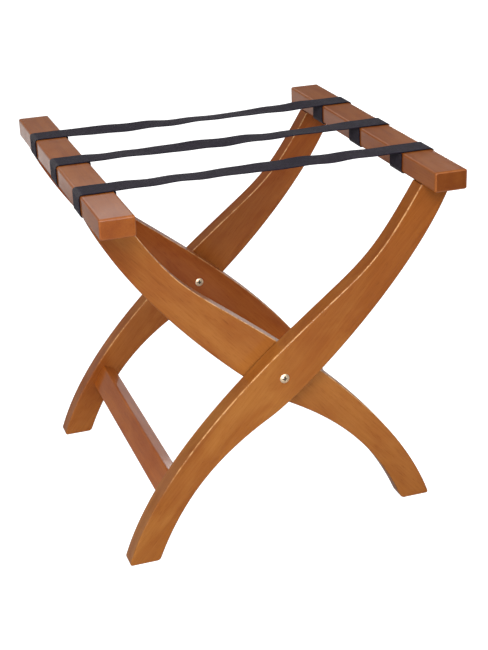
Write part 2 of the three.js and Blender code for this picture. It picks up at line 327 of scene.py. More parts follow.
def turned(name, profile, centre, axis, sides=72, recess=None):
    """A turned piece: an outline of (radius, height) points spun round an axis.

    recess gives how deep a cut goes below each point, from its place across the face.
    """
    profile = np.array(profile, float)
    turn = np.linspace(0, 2 * math.pi, sides, endpoint=False)
    radius, height = profile[:, :1], profile[:, 1:]
    x, y = radius * np.cos(turn), radius * np.sin(turn)
    rise = np.repeat(height, sides, 1)
    marks = {}
    if recess is not None:
        depth = recess(x, y)
        top = np.arange(len(profile))[:, None] >= recess.first
        rise = rise - depth * top
        marks["recess"] = np.clip(depth / recess.depth, 0, 1) * top
    axis = np.array(axis, float)
    side = np.array([1.0, 0, 0])
    other = np.cross(axis, side)
    rings = (
        np.array(centre, float) + x[..., None] * side + y[..., None] * other
        + rise[..., None] * axis
    )
    return skin(name, rings, marks)


class CrossRecess:
    """A cross-shaped driver recess: two crossed slots with sloping walls, deepest mid-face."""

    depth = 1.7 * MM
    half_width = 0.95 * MM
    half_length = 4.1 * MM
    wall = 0.35 * MM

    def __init__(self, first):
        self.first = first

    def slot(self, along, across):
        inside = (self.half_width - np.abs(across)) / self.wall
        reach = (self.half_length - np.abs(along)) / (1.1 * MM)
        return np.clip(inside + 0.5, 0, 1) * np.clip(reach, 0, 1)

    def __call__(self, x, y):
        return self.depth * np.maximum(self.slot(x, y), self.slot(y, x))


def pivot_fastener(name, node, outward, shank_radius, shank_length, bore=None):
    """A pivot fastener: a low domed head over a straight shank, or over a bored barrel.

    The dome's height is H * (1 - (r/R)^2.6) above a short rim, and the shank runs inwards.
    """
    low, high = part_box(node)
    face = high.y if outward > 0 else low.y
    base = face - outward * HEAD_HEIGHT
    rim = HEAD_HEIGHT * 0.34
    run = np.concatenate([[1.0], 1 - np.linspace(0.01, 1, 56) ** 1.25 * 0.985])
    dome = [(HEAD_RADIUS * r, rim + (HEAD_HEIGHT - rim) * (1 - r ** 2.6)) for r in run]
    tip = 0.8 * MM
    foot = [
        (shank_radius - tip, -shank_length),
        (shank_radius, -shank_length + tip),
        (shank_radius, -0.25 * MM),
        (shank_radius + 0.25 * MM, 0.0),
        (HEAD_RADIUS - 0.3 * MM, 0.0),
        (HEAD_RADIUS, 0.3 * MM),
    ]
    if bore:
        foot = [
            (0.05 * MM, -3.0 * MM),
            (bore, -3.0 * MM),
            (bore, -shank_length),
            *foot,
        ]
    else:
        foot = [(0.05 * MM, -shank_length), *foot]
    recess = CrossRecess(len(foot))
    return turned(name, foot + dome, (0, base, PIVOT_HEIGHT), (0, outward, 0), recess=recess)


def pivot_washer(name, node):
    """A flat ring with rounded rims, spun round the pivot."""
    low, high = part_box(node)
    half = (high.y - low.y) / 2
    inner, outer = WASHER_BORE, (high.x - low.x) / 2
    turn = np.linspace(-math.pi / 2, math.pi / 2, 7)
    rim = half * 0.8
    outline = [(outer - rim + rim * math.cos(a), (half - rim) * np.sign(a) + rim * math.sin(a))
               for a in turn]
    outline += [(inner + rim - rim * math.cos(a), -(half - rim) * np.sign(a) - rim * math.sin(a))
                for a in turn]
    centre = np.array([0, (low.y + high.y) / 2, PIVOT_HEIGHT])
    spin = np.linspace(0, 2 * math.pi, 96, endpoint=False)
    outline = np.array(outline)
    rings = np.stack(
        [
            centre[0] + np.cos(spin)[:, None] * outline[None, :, 0],
            centre[1] + np.repeat(outline[None, :, 1], len(spin), 0),
            centre[2] + np.sin(spin)[:, None] * outline[None, :, 0],
        ],
        -1,
    )
    return closed_tube(name, rings)


def closed_tube(name, rings):
    """A ring-shaped skin: as skin(), but the last ring joins the first, with no ends."""
    count, around = rings.shape[:2]
    index = np.arange(count * around).reshape(count, around)
    there = np.roll(index, -1, 0)
    quads = np.stack(
        [index, np.roll(index, -1, 1), np.roll(there, -1, 1), there], -1
    ).reshape(-1, 4)
    points = rings.reshape(-1, 3)
    if signed_volume(points, quads) < 0:
        quads = quads[:, ::-1]
    return new_object(name, points.tolist(), quads.tolist())


def staple(name, node):
    """A wire staple: a flattened round section carried up one leg, along the crown and down.

    The crown lies along Y under the strap, and both legs point up into the rail.
    """
    low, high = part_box(node)
    half = STAPLE_CROWN / 2 - STAPLE_WIRE / 2
    bend = 1.1 * MM
    turn = np.linspace(0, math.pi / 2, 7)
    corner = np.stack([half - bend + bend * np.cos(turn), -bend * np.sin(turn) + bend], -1)
    up = np.array([[half, STAPLE_DEPTH + STAPLE_WIRE / 2], [half, STAPLE_DEPTH * 0.5]])
    right = np.vstack([up, corner])
    line = np.vstack([right, right[::-1] * np.array([-1, 1])])
    tangent = np.gradient(line, axis=0)
    tangent /= np.linalg.norm(tangent, axis=1)[:, None]
    normal = np.stack([-tangent[:, 1], tangent[:, 0]], -1)
    spin = np.linspace(0, 2 * math.pi, 12, endpoint=False)
    wide = np.sign(np.cos(spin)) * np.abs(np.cos(spin)) ** 0.6 * STAPLE_WIRE / 2
    deep = np.sign(np.sin(spin)) * np.abs(np.sin(spin)) ** 0.6 * STAPLE_WIRE / 2
    x = (low.x + high.x) / 2
    y = (low.y + high.y) / 2
    z = low.z + STAPLE_WIRE / 2
    rings = np.stack(
        [
            x + np.repeat(wide[None, :], len(line), 0),
            y + line[:, :1] + normal[:, :1] * deep[None, :],
            z + line[:, 1:] + normal[:, 1:] * deep[None, :],
        ],
        -1,
    )
    return skin(name, rings)


# ------------------------------ straps

def straight(a, b, step):
    """Points from a to b, about step apart, without b."""
    a, b = np.array(a, float), np.array(b, float)
    count = max(1, int(round(np.linalg.norm(b - a) / step)))
    return a + (b - a) * np.linspace(0, 1, count, endpoint=False)[:, None]


def corner_arc(centre, radius, start, stop, steps=10):
    """Points of a circular arc between two angles, without the last."""
    turn = np.radians(np.linspace(start, stop, steps, endpoint=False))
    return np.array(centre) + radius * np.stack([np.cos(turn), np.sin(turn)], -1)


def left_wrap():
    """A strap's way round the left rail, as (x, z): from its cut end just under the top on
    the inner side, down, under, up the outer side and over the top to the inner edge."""
    low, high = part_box("left_top_rail")
    lift = STRAP_CLEARANCE + STRAP_THICKNESS / 2
    x0, x1 = low.x - lift, high.x + lift
    z0, z1 = low.z - lift, high.z + lift
    r = RAIL_ROUND + lift
    step = 1.5 * MM
    cut_end = high.z - 0.7 * MM
    return np.vstack([
        straight((x1, cut_end), (x1, z0 + r), step),
        corner_arc((x1 - r, z0 + r), r, 0, -90),
        straight((x1 - r, z0), (x0 + r, z0), step),
        corner_arc((x0 + r, z0 + r), r, -90, -180),
        straight((x0, z0 + r), (x0, z1 - r), step),
        corner_arc((x0 + r, z1 - r), r, 180, 90),
        straight((x0 + r, z1), (x1 - r, z1), step),
    ])


def strap_line(sag):
    """The whole strap's middle line as (x, z), and how free each point is to move: 0 on the
    rails and 1 in the open middle. The free length sags as a parabola between the rails."""
    wrap = left_wrap()
    edge = wrap[-1][0]
    top = wrap[-1][1]
    x = np.linspace(edge, -edge, 250)[1:-1]
    share = x / edge
    free = np.stack([x, top - sag * (1 - share ** 2)], -1)
    other = wrap[::-1] * np.array([-1, 1])
    freedom = np.concatenate([np.zeros(len(wrap)), 1 - share ** 6, np.zeros(len(wrap))])
    return np.vstack([wrap, free, other]), freedom


def strap_section():
    """The strap's outline as (across, lift), over the top and back underneath: a thin band
    whose edges are rounded and a little thicker than its middle, as a woven edge is."""
    across = np.linspace(-1, 1, 27)
    across = np.sign(across) * np.abs(across) ** 0.8
    half = STRAP_THICKNESS / 2
    selvedge = 0.12 * MM * np.exp(-(((1 - np.abs(across)) * STRAP_WIDTH / 2) / (1.6 * MM)) ** 2)
    edge_round = np.sqrt(np.clip(1 - ((np.abs(across) - 0.955) / 0.045).clip(0, 1) ** 2, 0, 1))
    lift = (half - 0.1 * MM + selvedge) * (0.25 + 0.75 * edge_round)
    y = across * STRAP_WIDTH / 2
    return np.vstack([np.stack([y, lift], -1), np.stack([y[::-1], -lift[::-1]], -1)])


def strap(name, where, lie):
    """One strap: the thin section carried along its line over both rails.

    Between the rails it turns a little about its own line by
    turn * sin(2 pi s / wave + phase), where s runs along it from its middle. It also ripples
    up and down, sways from side to side, is gathered a little narrower, and its two edges
    wave. All of these fade to nothing at the rails, but for a faint change of width.
    Returns the strap and its length.
    """
    line, freedom = strap_line(lie["sag"])
    run = np.append(0, np.cumsum(np.linalg.norm(np.diff(line, axis=0), axis=1)))
    tangent = np.gradient(line, axis=0)
    tangent /= np.linalg.norm(tangent, axis=1)[:, None]
    normal = np.stack([-tangent[:, 1], tangent[:, 0]], -1)
    loop = strap_section()
    middle = run - run[-1] / 2
    two_pi = 2 * math.pi
    turn = freedom * lie["turn"] * np.sin(two_pi * middle / lie["wave"] + lie["phase"])
    ripple = freedom * RIPPLE_HEIGHT * np.sin(
        two_pi * middle / RIPPLE_WAVE + 2.1 * lie["phase"]
    )
    sway = freedom * lie["sway"] * np.sin(two_pi * middle / SWAY_WAVE + lie["phase"])
    width = 1 + 0.012 * np.sin(two_pi * middle / WIDTH_WAVE + lie["phase"])
    width = width - STRAP_GATHER * freedom
    across, lift = loop[None, :, 0] * width[:, None], loop[None, :, 1]
    c, s = np.cos(turn)[:, None], np.sin(turn)[:, None]
    y = across * c - lift * s
    out = across * s + lift * c + ripple[:, None]
    edge_wave = freedom[:, None] * EDGE_WAVE_HEIGHT * np.sin(
        two_pi * middle[:, None] / EDGE_WAVE + 3 * np.sign(across) + lie["phase"]
    ) * (across / (STRAP_WIDTH / 2)) ** 2
    out = out + edge_wave
    low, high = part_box(f"strap_{where}_span")
    centre_y = (low.y + high.y) / 2
    rings = np.stack(
        [
            line[:, None, 0] + normal[:, None, 0] * out,
            centre_y + sway[:, None] + y,
            line[:, None, 1] + normal[:, None, 1] * out,
        ],
        -1,
    )
    uv = np.stack([np.broadcast_to(loop[None, :, 0], across.shape),
                   np.broadcast_to(run[:, None], across.shape)], -1)
    bend = np.abs(np.gradient(np.unwrap(np.arctan2(tangent[:, 1], tangent[:, 0])), run))
    bend = np.clip(bend * 4 * MM, 0, 1) * (1 - freedom)
    on_bend = np.broadcast_to(bend[:, None], across.shape)
    made = skin(name, rings, {"bend": on_bend}, uv)
    return made, run[-1]


# ------------------------------ shader building

def add(tree, kind, values=None, **settings):
    """A node with its settings, and its inputs set to numbers or joined to other sockets."""
    node = tree.nodes.new(kind)
    for key, value in settings.items():
        setattr(node, key, value)
    for key, value in (values or {}).items():
        socket = node.inputs[key]
        if isinstance(value, bpy.types.NodeSocket):
            tree.links.new(value, socket)
        else:
            socket.default_value = value
    return node


def maths(tree, operation, a, b=0.0, clamp=False):
    """The result of one sum on two numbers or sockets."""
    node = add(tree, "ShaderNodeMath", {0: a, 1: b}, operation=operation, use_clamp=clamp)
    return node.outputs[0]


def mix_colour(tree, factor, a, b, blend="MIX"):
    """Colour a with colour b laid over it by a factor."""
    node = add(tree, "ShaderNodeMix", data_type="RGBA", blend_type=blend)
    for socket, value in ((node.inputs[0], factor), (node.inputs[6], a), (node.inputs[7], b)):
        if isinstance(value, bpy.types.NodeSocket):
            tree.links.new(value, socket)
        else:
            socket.default_value = value
    return node.outputs[2]


def remap(tree, value, low, high, to_low=0.0, to_high=1.0):
    """A value between low and high carried smoothly to between to_low and to_high."""
    node = add(
        tree, "ShaderNodeMapRange",
        {"Value": value, 1: low, 2: high, 3: to_low, 4: to_high},
        interpolation_type="SMOOTHSTEP",
    )
    return node.outputs[0]


def scaled(tree, vector, factors):
    node = add(tree, "ShaderNodeVectorMath", {0: vector, 1: factors}, operation="MULTIPLY")
    return node.outputs[0]


def noise(tree, vector, scale, detail=2.0, roughness=0.5, distortion=0.0):
    """Soft noise: scale is how many blots there are to a metre."""
    node = add(
        tree, "ShaderNodeTexNoise",
        {"Vector": vector, "Scale": scale, "Detail": detail, "Roughness": roughness,
         "Distortion": distortion},
    )
    return node.outputs["Fac"]


def group(name, inputs, outputs):
    """An empty shader group with named inputs and outputs, and its two end nodes."""
    made = bpy.data.node_groups.new(name, "ShaderNodeTree")
    for title, kind, default in inputs:
        socket = made.interface.new_socket(title, in_out="INPUT", socket_type=kind)
        if default is not None:
            socket.default_value = default
    for title, kind in outputs:
        made.interface.new_socket(title, in_out="OUTPUT", socket_type=kind)
    return made, made.nodes.new("NodeGroupInput"), made.nodes.new("NodeGroupOutput")


FLOAT, COLOUR, VECTOR = "NodeSocketFloat", "NodeSocketColor", "NodeSocketVector"


def stained_wood_group():
    """Stained wood whose grain runs along the X of the vector that comes in.

    Long soft figure, growth bands and fine fibres are noises squeezed along the grain.
    Short dark pores lie on top, and the stain has taken unevenly in cloudy patches. One input
    adds painted shade through the same darkening, for the parts that light reaches less.
    """
    made, given, result = group(
        "stained wood",
        [
            ("Vector", VECTOR, None),
            ("Light", COLOUR, (0.5, 0.2, 0.06, 1)),
            ("Dark", COLOUR, (0.3, 0.1, 0.03, 1)),
            ("Cloudiness", FLOAT, 0.5),
            ("Depth", FLOAT, 0.0),
            ("Pores", FLOAT, 0.4),
            ("Seed", FLOAT, 0.0),
        ],
        [("Color", COLOUR), ("Roughness", FLOAT), ("Height", FLOAT)],
    )
    seed = add(made, "ShaderNodeCombineXYZ",
               {"X": given.outputs["Seed"], "Y": given.outputs["Seed"],
                "Z": given.outputs["Seed"]}).outputs[0]
    place = add(made, "ShaderNodeVectorMath", {0: given.outputs["Vector"], 1: seed},
                operation="ADD").outputs[0]
    figure = noise(made, scaled(made, place, (0.09, 1, 1)), 46, 4, 0.55, 0.5)
    fibres = noise(made, scaled(made, place, (0.02, 1, 1)), 420, 3, 0.6)
    bands = add(
        made, "ShaderNodeTexWave",
        {"Vector": scaled(made, place, (0.07, 1, 0.6)), "Scale": 17, "Distortion": 7.0,
         "Detail": 2.0, "Detail Scale": 0.9},
        wave_type="BANDS", bands_direction="Y",
    ).outputs["Fac"]
    tone = maths(made, "MULTIPLY", remap(made, figure, 0.28, 0.72), 0.46)
    tone = maths(made, "ADD", tone, maths(made, "MULTIPLY", bands, 0.2))
    tone = maths(made, "ADD", tone, maths(made, "MULTIPLY", remap(made, fibres, 0.3, 0.7), 0.34))
    plain = mix_colour(made, tone, given.outputs["Dark"], given.outputs["Light"])
    clouds = noise(made, scaled(made, place, (0.5, 1, 1)), 17, 3, 0.55, 0.8)
    patch = maths(made, "MULTIPLY", remap(made, clouds, 0.36, 0.7), given.outputs["Cloudiness"])
    # Painted shade from the input is added to the cloudy patches of stain.
    patch = maths(made, "ADD", patch, given.outputs["Depth"], True)
    clouded = mix_colour(made, patch, plain, (0.78, 0.62, 0.5, 1), "MULTIPLY")
    specks = noise(made, scaled(made, place, (0.045, 1, 1)), 1500, 1, 0.5)
    pores = maths(made, "MULTIPLY", remap(made, specks, 0.6, 0.72), given.outputs["Pores"])
    poured = mix_colour(made, pores, clouded, (0.45, 0.3, 0.22, 1), "MULTIPLY")
    made.links.new(poured, result.inputs["Color"])
    rough = maths(made, "ADD", maths(made, "MULTIPLY", clouds, 0.16), 0.3)
    rough = maths(made, "ADD", rough, maths(made, "MULTIPLY", fibres, 0.1))
    made.links.new(rough, result.inputs["Roughness"])
    height = maths(made, "SUBTRACT", maths(made, "MULTIPLY", fibres, 0.5),
                   maths(made, "MULTIPLY", pores, 0.8))
    height = maths(made, "ADD", height, maths(made, "MULTIPLY", figure, 0.6))
    made.links.new(height, result.inputs["Height"])
    return made


def worn_edge_group():
    """Pale edges, end grain and brushed lacquer: where the edge mark is high the colour turns to
    pale timber, unevenly, as wear through the stain and, along each leg's upper near edge, as a
    painted highlight. End grain is darker from stain drawn in, with painted shade added where the
    end mark is set high, and the lacquer's film is a little thicker and thinner."""
    made, given, result = group(
        "worn and highlit edges",
        [
            ("Color", COLOUR, (0.5, 0.2, 0.06, 1)),
            ("Pale", COLOUR, (0.8, 0.55, 0.3, 1)),
            ("Edge", FLOAT, 0.0),
            ("End", FLOAT, 0.0),
            ("Vector", VECTOR, None),
            ("Amount", FLOAT, 0.5),
        ],
        [("Color", COLOUR), ("Lacquer", FLOAT)],
    )
    uneven = remap(made, noise(made, given.outputs["Vector"], 110, 4, 0.65), 0.36, 0.6, 0.2, 1)
    edge = maths(made, "POWER", given.outputs["Edge"], 1.8)
    paling = maths(made, "MULTIPLY", maths(made, "MULTIPLY", edge, uneven),
                given.outputs["Amount"], True)
    # End grain darker: stain drawn in, and painted shade where the end mark is set high.
    end_darkened = mix_colour(made, given.outputs["End"], given.outputs["Color"],
                        (0.6, 0.53, 0.46, 1), "MULTIPLY")
    # Pale edges: wear, and where the edge mark is full, a painted highlight.
    rubbed = mix_colour(made, paling, end_darkened, given.outputs["Pale"])
    made.links.new(rubbed, result.inputs["Color"])
    film = remap(made, noise(made, given.outputs["Vector"], 24, 3, 0.6), 0.3, 0.7, 0.72, 0.9)
    made.links.new(film, result.inputs["Lacquer"])
    return made


def plated_metal_group():
    """Plated steel: cloudy plating, fine scratches and dull soil in the cut recesses."""
    made, given, result = group(
        "plated metal",
        [
            ("Vector", VECTOR, None),
            ("Bright", COLOUR, (0.7, 0.7, 0.68, 1)),
            ("Dull", COLOUR, (0.35, 0.34, 0.32, 1)),
            ("Soil", FLOAT, 0.0),
            ("Roughness", FLOAT, 0.3),
        ],
        [("Color", COLOUR), ("Roughness", FLOAT), ("Height", FLOAT)],
    )
    clouds = remap(made, noise(made, given.outputs["Vector"], 260, 4, 0.6), 0.35, 0.7)
    scratches = noise(made, scaled(made, given.outputs["Vector"], (1, 0.2, 0.08)), 2600, 2, 0.5)
    plain = mix_colour(made, maths(made, "MULTIPLY", clouds, 0.5),
                       given.outputs["Bright"], given.outputs["Dull"])
    soiled = mix_colour(made, given.outputs["Soil"], plain, (0.09, 0.08, 0.075, 1))
    made.links.new(soiled, result.inputs["Color"])
    rough = maths(made, "ADD", given.outputs["Roughness"], maths(made, "MULTIPLY", clouds, 0.14))
    rough = maths(made, "ADD", rough, maths(made, "MULTIPLY", given.outputs["Soil"], 0.3), True)
    made.links.new(rough, result.inputs["Roughness"])
    made.links.new(scratches, result.inputs["Height"])
    return made


def webbing_group():
    """Flat woven webbing, from a map in metres across and along the strap.

    Columns of short warp floats stand side by side, each column half a float behind the
    last. The yarns differ a little, the edges are denser, and lint greys the surface.
    """
    made, given, result = group(
        "woven webbing",
        [
            ("Map", VECTOR, None),
            ("Yarn", COLOUR, (0.03, 0.028, 0.034, 1)),
            ("Lint", COLOUR, (0.09, 0.085, 0.095, 1)),
            ("Column", FLOAT, 1.9 * MM),
            ("Float", FLOAT, 2.6 * MM),
        ],
        [("Color", COLOUR), ("Roughness", FLOAT), ("Height", FLOAT)],
    )
    parts = add(made, "ShaderNodeSeparateXYZ", {0: given.outputs["Map"]})
    columns = maths(made, "DIVIDE", parts.outputs["X"], given.outputs["Column"])
    which = maths(made, "FLOOR", columns)
    rows = maths(made, "DIVIDE", parts.outputs["Y"], given.outputs["Float"])
    rows = maths(made, "ADD", rows, maths(made, "MULTIPLY", which, 0.5))
    over = maths(made, "SINE", maths(made, "MULTIPLY", maths(made, "FRACT", columns), math.pi))
    along = maths(made, "SINE", maths(made, "MULTIPLY", maths(made, "FRACT", rows), math.pi))
    weave = maths(made, "POWER", maths(made, "MULTIPLY", over, along), 0.5)
    yarn = add(made, "ShaderNodeTexWhiteNoise", {"Vector": add(
        made, "ShaderNodeCombineXYZ", {"X": which, "Y": maths(made, "FLOOR", rows)}
    ).outputs[0]}, noise_dimensions="2D").outputs["Value"]
    lint = noise(made, given.outputs["Map"], 130, 4, 0.65)
    lint = remap(made, lint, 0.42, 0.72)
    shade = maths(made, "ADD", maths(made, "MULTIPLY", weave, 0.75), 0.25)
    shade = maths(made, "MULTIPLY", shade, maths(made, "ADD",
                  maths(made, "MULTIPLY", yarn, 0.4), 0.8))
    dyed = mix_colour(made, maths(made, "MULTIPLY", lint, 0.55),
                      given.outputs["Yarn"], given.outputs["Lint"])
    grey = add(made, "ShaderNodeCombineColor", {0: shade, 1: shade, 2: shade}).outputs[0]
    made.links.new(mix_colour(made, 1.0, dyed, grey, "MULTIPLY"), result.inputs["Color"])
    rough = maths(made, "SUBTRACT", 0.92, maths(made, "MULTIPLY", weave, 0.14))
    made.links.new(rough, result.inputs["Roughness"])
    made.links.new(weave, result.inputs["Height"])
    return made


# Pale bare timber, for worn edges and for the painted highlight on each leg's upper near edge.
PALE_WEAR_AND_HIGHLIGHT = (0.85, 0.5, 0.22, 1)

GROUPS = {
    "wood": stained_wood_group(),
    "edges": worn_edge_group(),
    "metal": plated_metal_group(),
    "webbing": webbing_group(),
}


def material(name):
    """A material with only its output and a Principled shader, joined up."""
    made = bpy.data.materials.new(name)
    made.use_nodes = True
    tree = made.node_tree
    tree.nodes.clear()
    shader = tree.nodes.new("ShaderNodeBsdfPrincipled")
    output = tree.nodes.new("ShaderNodeOutputMaterial")
    tree.links.new(shader.outputs[0], output.inputs["Surface"])
    return made, tree, shader


def use(tree, which, values):
    """One of the shared shader groups, with its inputs set or joined."""
    node = add(tree, "ShaderNodeGroup")
    node.node_tree = GROUPS[which]
    for key, value in values.items():
        if isinstance(value, bpy.types.NodeSocket):
            tree.links.new(value, node.inputs[key])
        else:
            node.inputs[key].default_value = value
    return node


def raise_bump(tree, shader, height, strength, distance):
    """Relief on a shader from a height map, distance deep."""
    bump = add(tree, "ShaderNodeBump", {"Height": height, "Strength": strength,
                                        "Distance": distance})
    tree.links.new(bump.outputs[0], shader.inputs["Normal"])


def wood_material(name, grain_turn, seed, light, dark, cloudiness=0.6, top_shade=0.0,
                  film=1.0, end_darkening=0.6):
    """Stained wood under satin lacquer, its grain turned to run along the piece.

    The wood darkens with height up to the share given, a painted shade for the tops of the
    legs under the rails and straps. Film is how much lacquer there is, and the end share is
    how much darker the end grain is: stain drawn in, and on the right rail painted shade too.
    """
    made, tree, shader = material(name)
    place = add(tree, "ShaderNodeTexCoord").outputs["Object"]
    grain = add(tree, "ShaderNodeMapping", {"Vector": place, "Rotation": grain_turn}).outputs[0]
    height = add(tree, "ShaderNodeSeparateXYZ", {0: place}).outputs["Z"]
    # Painted shade: darker towards the top of the legs, under the rails.
    depth = remap(tree, height, 0.2, 0.48, 0.0, top_shade)
    wood = use(tree, "wood", {"Vector": grain, "Light": light, "Dark": dark, "Depth": depth,
                              "Cloudiness": cloudiness, "Pores": 0.4, "Seed": seed})
    # Pale edges: wear, and on the legs a painted highlight along the upper near edge.
    edge = add(tree, "ShaderNodeAttribute", attribute_name="edge").outputs["Fac"]
    end = add(tree, "ShaderNodeAttribute", attribute_name="end").outputs["Fac"]
    worn = use(tree, "edges", {"Color": wood.outputs["Color"], "Edge": edge,
                               "End": maths(tree, "MULTIPLY", end, end_darkening),
                               "Vector": place, "Pale": PALE_WEAR_AND_HIGHLIGHT, "Amount": 0.62})
    tree.links.new(worn.outputs["Color"], shader.inputs["Base Color"])
    tree.links.new(wood.outputs["Roughness"], shader.inputs["Roughness"])
    raise_bump(tree, shader, wood.outputs["Height"], 0.12, 0.25 * MM)
    tree.links.new(maths(tree, "MULTIPLY", worn.outputs["Lacquer"], film),
                   shader.inputs["Coat Weight"])
    shader.inputs["Specular IOR Level"].default_value = 0.05
    shader.inputs["Coat Roughness"].default_value = 0.12
    return made


def metal_material(name, bright, dull, roughness, recess=False):
    """Plated steel; the driver recess, where there is one, is dull with soil."""
    made, tree, shader = material(name)
    place = add(tree, "ShaderNodeTexCoord").outputs["Object"]
    values = {"Vector": place, "Bright": bright, "Dull": dull, "Roughness": roughness}
    if recess:
        values["Soil"] = add(tree, "ShaderNodeAttribute", attribute_name="recess").outputs["Fac"]
    metal = use(tree, "metal", values)
    tree.links.new(metal.outputs["Color"], shader.inputs["Base Color"])
    tree.links.new(metal.outputs["Roughness"], shader.inputs["Roughness"])
    raise_bump(tree, shader, metal.outputs["Height"], 0.08, 0.05 * MM)
    shader.inputs["Metallic"].default_value = 1.0
    return made


def nylon_material():
    """Off-white nylon, a little cloudy, with a soft moulded surface."""
    made, tree, shader = material("washer nylon")
    place = add(tree, "ShaderNodeTexCoord").outputs["Object"]
    clouds = noise(tree, place, 300, 3, 0.6)
    colour = mix_colour(tree, clouds, (0.72, 0.69, 0.6, 1), (0.82, 0.8, 0.74, 1))
    tree.links.new(colour, shader.inputs["Base Color"])
    tree.links.new(remap(tree, clouds, 0.3, 0.7, 0.42, 0.56), shader.inputs["Roughness"])
    raise_bump(tree, shader, clouds, 0.05, 0.1 * MM)
    shader.inputs["Subsurface Weight"].default_value = 0.1
    shader.inputs["Subsurface Scale"].default_value = 1 * MM
    return made


def dowel_material(name, grain_turn):
    """Bare beech dowel, its grain turned along its own length, with pale glue rubbed on it."""
    made, tree, shader = material(name)
    place = add(tree, "ShaderNodeTexCoord").outputs["Object"]
    place = add(tree, "ShaderNodeMapping", {"Vector": place, "Rotation": grain_turn}).outputs[0]
    wood = use(tree, "wood", {"Vector": place, "Light": (0.72, 0.5, 0.31, 1),
                              "Dark": (0.5, 0.31, 0.17, 1), "Cloudiness": 0.1,
                              "Pores": 0.5, "Seed": 4.7})
    glue = remap(tree, noise(tree, place, 90, 3, 0.6), 0.5, 0.7, 0.0, 0.5)
    colour = mix_colour(tree, glue, wood.outputs["Color"], (0.75, 0.66, 0.5, 1))
    tree.links.new(colour, shader.inputs["Base Color"])
    tree.links.new(maths(tree, "ADD", wood.outputs["Roughness"], 0.25), shader.inputs["Roughness"])
    raise_bump(tree, shader, wood.outputs["Height"], 0.3, 0.3 * MM)
    return made


def strap_material():
    """Dark polypropylene webbing, matte, rubbed paler where it turns over a rail's edge."""
    made, tree, shader = material("strap webbing")
    cloth = add(tree, "ShaderNodeUVMap", uv_map="cloth").outputs[0]
    weave = use(tree, "webbing", {"Map": cloth, "Yarn": (0.0155, 0.0098, 0.022, 1),
                                  "Lint": (0.038, 0.028, 0.056, 1)})
    bend = add(tree, "ShaderNodeAttribute", attribute_name="bend").outputs["Fac"]
    paling = maths(tree, "MULTIPLY", maths(tree, "MULTIPLY", bend, weave.outputs["Height"]), 0.5)
    colour = mix_colour(tree, paling, weave.outputs["Color"], (0.11, 0.1, 0.1, 1))
    tree.links.new(colour, shader.inputs["Base Color"])
    tree.links.new(weave.outputs["Roughness"], shader.inputs["Roughness"])
    raise_bump(tree, shader, weave.outputs["Height"], 0.7, 0.35 * MM)
    shader.inputs["Specular IOR Level"].default_value = 0.1
    shader.inputs["Sheen Weight"].default_value = 0.06
    shader.inputs["Sheen Roughness"].default_value = 0.5
    return made


# ------------------------------ the pieces

def finish_piece(piece, look, slot, body=None, *nodes):
    """Gives a piece its material and its body, and hides the CAD nodes that it stands for. The
    slot is not used.
    """
    piece.data.materials.append(look)
    if body:
        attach(piece, body)
    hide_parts(*nodes)


# Each frame's lean, its body and the side its rail is on.
FRAMES = {"outer": (1, "outer_frame", "right"), "inner": (-1, "inner_frame", "left")}
CHORD_TURN = math.atan2(LEG_TOP, LEG_SPREAD)
NEAR_FAR = {"near": -1, "far": 1}

# The colour of each piece, light and dark. The far inner leg and the right rail are darker, which
# is painted shade.
HONEY = (0.387, 0.148, 0.0285, 1)
AMBER = (0.283, 0.092, 0.0155, 1)
STAINS_AND_SHADE = {
    "outer_leg_near": (HONEY, AMBER),
    "inner_leg_near": ((0.376, 0.139, 0.0278, 1), (0.275, 0.087, 0.0152, 1)),
    "outer_leg_far": ((0.388, 0.13, 0.0265, 1), (0.278, 0.081, 0.0145, 1)),
    # Darker: painted shade on the far inner leg.
    "inner_leg_far": ((0.347, 0.099, 0.0205, 1), (0.252, 0.062, 0.011, 1)),
    "left_top_rail": ((0.385, 0.12, 0.02, 1), (0.28, 0.074, 0.011, 1)),
    # Darker: painted shade on the right rail.
    "right_top_rail": ((0.338, 0.102, 0.017, 1), (0.242, 0.063, 0.0095, 1)),
    "outer_stretcher": ((0.44, 0.125, 0.018, 1), (0.32, 0.078, 0.01, 1)),
    "inner_stretcher": ((0.41, 0.12, 0.018, 1), (0.3, 0.075, 0.01, 1)),
}

# How strongly painted shade darkens the top of each leg, where the rails and straps shade it.
TOP_SHADE = {"outer_leg_near": 1.0, "inner_leg_near": 0.35, "outer_leg_far": 0.85,
           "inner_leg_far": 0.95}

# The lacquer's film on each kind of piece, and for each rail how much darker its end grain is:
# stain drawn in, and on the right rail also painted shade.
LEG_FILM = 0.52
STRETCHER_FILM = 0.85
RAIL_FINISH = {"left_top_rail": (1.0, 0.35), "right_top_rail": (0.75, 1.0)}

